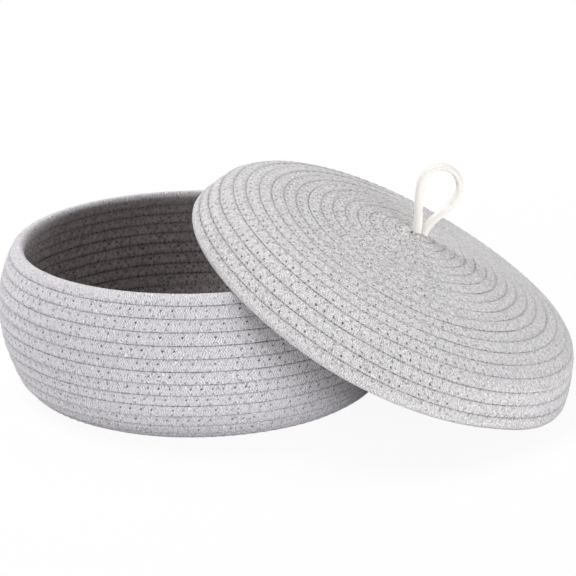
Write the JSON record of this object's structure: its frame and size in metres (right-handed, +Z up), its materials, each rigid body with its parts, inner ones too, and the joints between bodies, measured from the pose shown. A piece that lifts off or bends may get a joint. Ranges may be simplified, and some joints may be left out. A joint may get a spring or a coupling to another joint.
{
  "type": "rope storage basket",
  "caption": "Round bellied storage basket of coiled and sewn grey cotton rope, with a cap-shaped lid leaning on its rim and a cream cord loop to lift the lid.",
  "frame": {"origin": "middle of the basket's flat underside, on the floor", "axes": "+Z up; the lid leans out to +X, and the picture looks along about +Y"},
  "size_m": [0.4267, 0.3073, 0.1763],
  "materials": {
    "basket_rope": "heathered grey cotton rope with tone-on-tone stitches",
    "lid_rope": "heathered grey cotton rope, a little warmer, with tone-on-tone stitches",
    "cream_cord": "soft cream cotton cord"
  },
  "bodies": {
    "basket": {"base_coil": "basket_rope", "wall_coil": "basket_rope"},
    "lid": {"lid_top_coil": "lid_rope", "lid_skirt_coil": "lid_rope", "loop_knot": "cream_cord"},
    "loop": {"pull_loop": "cream_cord"}
  },
  "joints": [
    {"name": "lid_lift", "type": "slide", "parent": "basket", "child": "lid", "axis": [0, 0, 1], "range_m": [0, 0.15]},
    {"name": "loop_fold", "type": "hinge", "parent": "lid", "child": "loop", "pos_m": [0.16468, 0.00522, 0.12265], "axis": [0.7931, 0.4492, -0.4115], "range_deg": [-70, 70], "stiffness_Nm_per_rad": 0.02}
  ]
}
